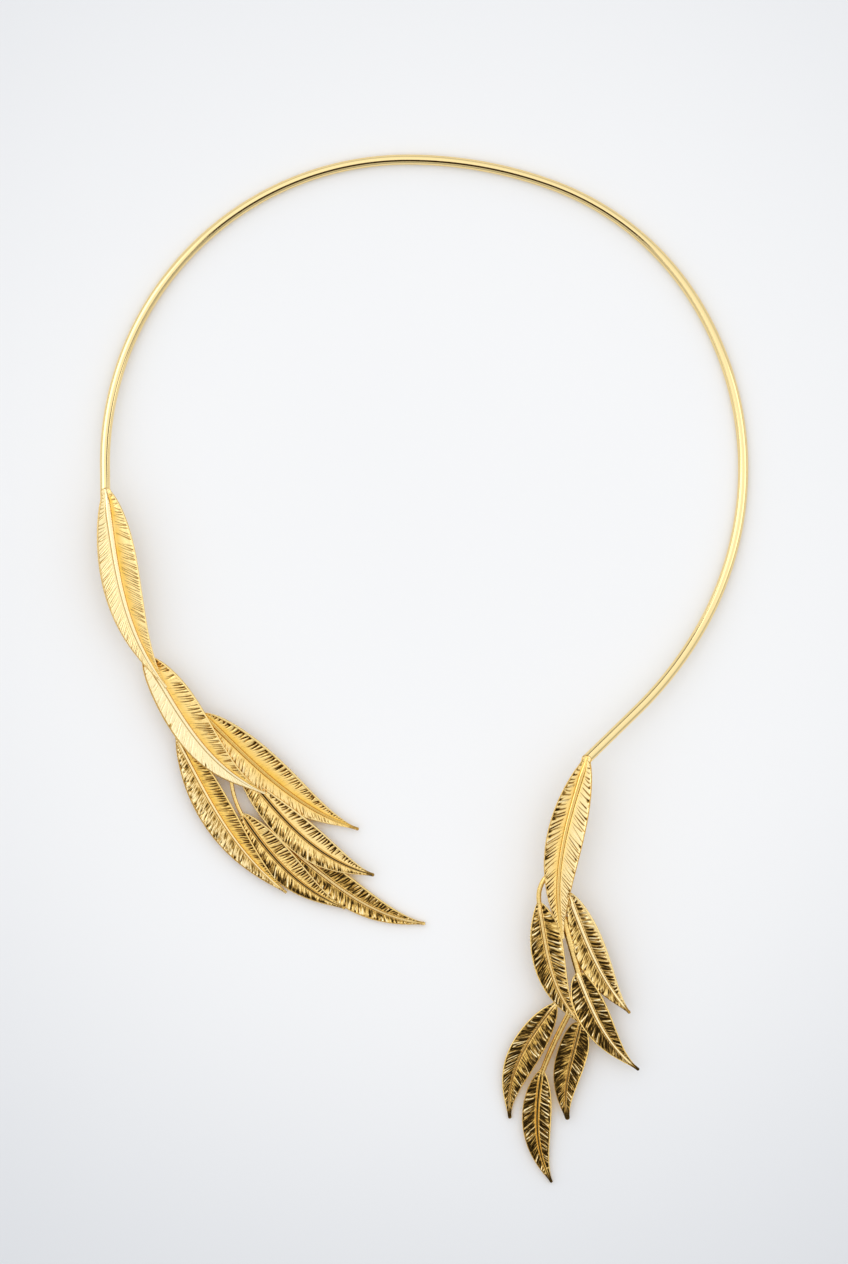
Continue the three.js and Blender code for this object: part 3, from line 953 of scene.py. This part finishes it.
def floor_material():
    """White paper, painted greyer far from the choker as shade where the light falls off. It
    takes a golden tone close under the metal, painted in place of the light that polished
    gold throws on it."""
    material = bpy.data.materials.new("paper_white")
    material.use_nodes = True
    nodes = Nodes(material.node_tree)
    shader = material.node_tree.nodes["Principled BSDF"]
    where = nodes.add("ShaderNodeTexCoord").outputs["Object"]
    cloud = nodes.noise(where, PAPER_CLOUDS, 2.0)
    paper = nodes.mix(cloud, PAPER, PAPER_LIGHTER)
    split = nodes.add("ShaderNodeSeparateXYZ")
    nodes.join(where, split.inputs[0])
    x, y, _ = split.outputs
    squares = nodes.math("ADD", nodes.math("MULTIPLY", x, x), nodes.math("MULTIPLY", y, y))
    off = nodes.math("SQRT", squares)
    off = nodes.math("SUBTRACT", off, nodes.math("MULTIPLY", y, FALLOFF_SHADE_LEAN_Y))
    off = nodes.math("SUBTRACT", off, nodes.math("MULTIPLY", x, FALLOFF_SHADE_LEAN_X))
    # Painted shade: greyer paper far from the choker.
    paper = nodes.mix(nodes.ease(off, *FALLOFF_SHADE_RANGE), paper, PAPER_SHADED_FAR)
    near = nodes.add("ShaderNodeAmbientOcclusion", samples=GOLDEN_SAMPLES)
    near.inputs["Distance"].default_value = GOLDEN_REACH
    golden = nodes.ease(near.outputs["AO"], *GOLDEN_OPEN)
    nodes.join(nodes.mix(golden, paper, PAPER_GOLDEN), shader.inputs["Base Color"])
    shader.inputs["Roughness"].default_value = PAPER_ROUGHNESS
    shader.inputs["Specular IOR Level"].default_value = PAPER_SHINE
    return material


# ---------------------------------------------------------------- world and lights
def studio_sky():
    """A white tent, brightest overhead, falling to a grey horizon, darker on the near side."""
    world = bpy.data.worlds.new("studio")
    bpy.context.scene.world = world
    world.use_nodes = True
    nodes = Nodes(world.node_tree)
    background = world.node_tree.nodes["Background"]
    split = nodes.add("ShaderNodeSeparateXYZ")
    nodes.join(nodes.add("ShaderNodeTexCoord").outputs["Generated"], split.inputs[0])
    x, y, z = split.outputs
    level = nodes.ease(z, *SKY_UP)
    level = nodes.math("MULTIPLY", level, nodes.ease(x, *SKY_ACROSS))
    level = nodes.math("MULTIPLY", level, nodes.ease(y, *SKY_ALONG))
    nodes.join(level, background.inputs["Strength"])
    background.inputs["Color"].default_value = SKY


def brown_card():
    """A fan-shaped brown card low over the ring's upper half: the polished wire shows it as
    the thin dark line along its inner side."""
    angles = np.radians(np.linspace(CARD_FROM, CARD_TO, CARD_STEPS + 1))
    directions = np.column_stack([np.cos(angles), np.sin(angles)])
    rim = CARD_RADIUS * directions + CARD_CENTRE
    points = [(*CARD_CENTRE, CARD_HEIGHT)] + [(x, y, CARD_HEIGHT) for x, y in rim]
    faces = [(0, k, k + 1) for k in range(1, CARD_STEPS + 1)]
    mesh = bpy.data.meshes.new("card")
    mesh.from_pydata(points, [], faces)
    board = bpy.data.materials.new("brown_board")
    board.use_nodes = True
    shader = board.node_tree.nodes["Principled BSDF"]
    shader.inputs["Base Color"].default_value = CARD_BROWN
    shader.inputs["Roughness"].default_value = 1.0
    shader.inputs["Specular IOR Level"].default_value = 0.0
    mesh.materials.append(board)
    card = bpy.data.objects.new("card", mesh)
    bpy.context.scene.collection.objects.link(card)
    for ray in ("camera", "diffuse", "shadow", "transmission", "volume_scatter"):
        setattr(card, "visible_" + ray, False)
    card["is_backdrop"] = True


def soft_light(name, place, size, power, seen_by):
    """A lamp aimed at the choker, that only the metal's reflections or the paper see."""
    lamp = bpy.data.lights.new(name, "AREA")
    lamp.shape = "RECTANGLE"
    lamp.size, lamp.size_y = size
    lamp.energy = power
    holder = bpy.data.objects.new(name, lamp)
    holder.location = place
    holder.visible_diffuse = seen_by == "paper"
    holder.visible_glossy = seen_by == "metal"
    aim = Vector() - holder.location
    holder.rotation_euler = aim.to_track_quat("-Z", "Y").to_euler()
    bpy.context.scene.collection.objects.link(holder)


def studio():
    studio_sky()
    brown_card()
    for lamp in LAMPS:
        soft_light(*lamp)


def camera():
    """Straight down from high up, framed as the photo is."""
    data = bpy.data.cameras.new("overhead")
    data.sensor_fit = "VERTICAL"
    data.sensor_height = FILM_HEIGHT
    data.lens = FILM_HEIGHT * CAMERA_HEIGHT / VIEW_HEIGHT
    data.clip_start = 0.01
    holder = bpy.data.objects.new("overhead", data)
    holder.location = (VIEW_CENTRE[0], VIEW_CENTRE[1], CAMERA_HEIGHT)
    bpy.context.scene.collection.objects.link(holder)
    bpy.context.scene.camera = holder


def floor():
    half = FLOOR_HALF
    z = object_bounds()[0][2] - FLOOR_DROP
    mesh = bpy.data.meshes.new("floor")
    corners = [(-half, -half, z), (half, -half, z), (half, half, z), (-half, half, z)]
    mesh.from_pydata(corners, [], [(0, 1, 2, 3)])
    mesh.materials.append(floor_material())
    sheet = bpy.data.objects.new("floor", mesh)
    bpy.context.scene.collection.objects.link(sheet)
    sheet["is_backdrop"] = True


# ---------------------------------------------------------------- the choker
def dress(piece, node):
    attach(piece, "root")
    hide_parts(node)


def shift_to(node, low, high):
    """The shift in mm from the drawing's axes to the middle of a node's box. low and high
    are the box of the node's pieces in the drawing's axes."""
    box_low, box_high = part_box(node)
    middle = [(a + b) / 2 / MM for a, b in zip(box_low, box_high)]
    return np.array([
        middle[0] - (low[0] + high[0]) / 2,
        middle[1] - (low[1] + high[1]) / 2,
        box_low[2] / MM - low[2],
    ])


def plain_outline(row):
    """Points on both edges and the midrib of a leaf without relief, for the group's box."""
    midrib = Midrib(row)
    t = np.linspace(0, 1, 160)
    edges = []
    for side, sign in (("left", 1.0), ("right", -1.0)):
        width = midrib.width(t, side)
        height = midrib.lift(t) + CAD_CUP * width + EDGE_LIFT
        height += sign * width * math.tan(math.radians(row["roll"]))
        plan = midrib.place(t) + outward(midrib, t, sign) * width[:, None]
        edges.append(np.column_stack([plan, height]))
    edges.append(np.column_stack([midrib.place(t), midrib.lift(t)]))
    return np.vstack(edges)


def merged(columns, tables):
    """One dictionary for each leaf or half, from tables that list them in the same order."""
    rows = []
    for lines in zip(*tables):
        row = {}
        for names, cells in zip(columns, lines):
            row.update(zip(names, cells))
        rows.append(row)
    return rows


def spray(node, leaf_tables, half_tables, ribs, stalks, slot, first_seed):
    """The leaves and bare stalks that are cast and soldered as one CAD node."""
    rows = merged((MIDRIB_COLUMNS, OUTLINE_COLUMNS), leaf_tables)
    halves = merged((RELIEF_COLUMNS, TONE_COLUMNS), half_tables)
    material = gold(slot, *FINISHES[slot])
    outline = np.vstack([plain_outline(row) for row in rows])
    shift = shift_to(node, outline.min(0), outline.max(0))
    side = node.split("_")[0]
    for number, row in enumerate(rows):
        looks = {half["side"]: half for half in halves if half["leaf"] == row["leaf"]}
        rib = dict(zip(RIB_COLUMNS, ribs[row["leaf"]]))
        name = f"{side}_leaf_{row['leaf']}"
        dress(leaf(name, row, looks, rib, material, shift, first_seed + number), node)
    for which, (start, end, bow, radius, shade_line_at, shade_line_depth) in stalks.items():
        name = f"{side}_stalk_{which}"
        path = stalk_path(start, end, bow)
        line = (shade_line_at, shade_line_depth)
        piece = tube(name, path, radius, STALK_SIDES, material, shift, STALK_TONES, *line)
        dress(piece, node)


def collar():
    """The bent wire, with the rounded ends that the CAD leaves square."""
    path = wire_path()
    low = path.min(0) - WIRE_RADIUS
    high = path.max(0) + WIRE_RADIUS
    material = gold("wire_gold", *FINISHES["wire_gold"])
    shift = shift_to("neck_wire", low, high)
    path, radius = rounded_ends(path)
    piece = tube("collar_wire", path, radius, WIRE_SIDES, material, shift, WIRE_TONES)
    dress(piece, "neck_wire")


camera()
studio()
floor()
collar()
spray("left_spray", (LEFT_MIDRIBS, LEFT_OUTLINES), (LEFT_RELIEF, LEFT_TONES), LEFT_RIBS,
      LEFT_STALKS, "left_leaf_gold", first_seed=11)
spray("right_spray", (RIGHT_MIDRIBS, RIGHT_OUTLINES), (RIGHT_RELIEF, RIGHT_TONES), RIGHT_RIBS,
      RIGHT_STALKS, "right_leaf_gold", first_seed=31)

view = bpy.context.scene.view_settings
view.view_transform = "Standard"
view.look = "None"
